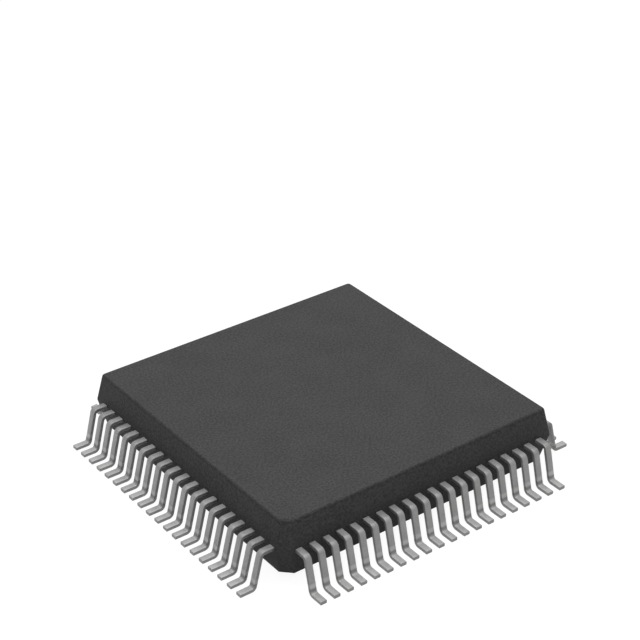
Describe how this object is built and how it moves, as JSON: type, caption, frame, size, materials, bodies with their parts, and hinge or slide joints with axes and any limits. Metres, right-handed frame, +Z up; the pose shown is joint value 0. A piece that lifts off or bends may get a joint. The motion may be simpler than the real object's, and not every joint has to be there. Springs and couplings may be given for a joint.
{
  "type": "quad flat pack chip",
  "caption": "Square surface-mount integrated circuit package with gull-wing leads on all four sides and one chamfered corner.",
  "frame": {"origin": "centre of the seating plane, under the middle of the body", "axes": "+Z up out of the board; the chamfered corner is at -X -Y, and leads 1 to 20 run along the -Y side from it"},
  "size_m": [0.017, 0.017, 0.0029],
  "materials": {
    "mould_compound": "matt, fine spark-eroded texture",
    "tin_plating": "matt tin plating",
    "lead_frame": "rolled copper alloy",
    "silver_epoxy": "silver-filled adhesive",
    "silicon": "polished",
    "gold_wire": "drawn gold"
  },
  "bodies": {
    "root": {"mould_body": "mould_compound", "die_pad": "lead_frame", "die_attach": "silver_epoxy", "silicon_die": "silicon", "leads_01_05": "tin_plating", "leads_06_10": "tin_plating", "leads_11_15": "tin_plating", "leads_16_20": "tin_plating", "leads_21_25": "tin_plating", "leads_26_30": "tin_plating", "leads_31_35": "tin_plating", "leads_36_40": "tin_plating", "leads_41_45": "tin_plating", "leads_46_50": "tin_plating", "leads_51_55": "tin_plating", "leads_56_60": "tin_plating", "leads_61_65": "tin_plating", "leads_66_70": "tin_plating", "leads_71_75": "tin_plating", "leads_76_80": "tin_plating", "bond_wires_01_05": "gold_wire", "bond_wires_06_10": "gold_wire", "bond_wires_11_15": "gold_wire", "bond_wires_16_20": "gold_wire", "bond_wires_21_25": "gold_wire", "bond_wires_26_30": "gold_wire", "bond_wires_31_35": "gold_wire", "bond_wires_36_40": "gold_wire", "bond_wires_41_45": "gold_wire", "bond_wires_46_50": "gold_wire", "bond_wires_51_55": "gold_wire", "bond_wires_56_60": "gold_wire", "bond_wires_61_65": "gold_wire", "bond_wires_66_70": "gold_wire", "bond_wires_71_75": "gold_wire", "bond_wires_76_80": "gold_wire"}
  },
  "joints": []
}
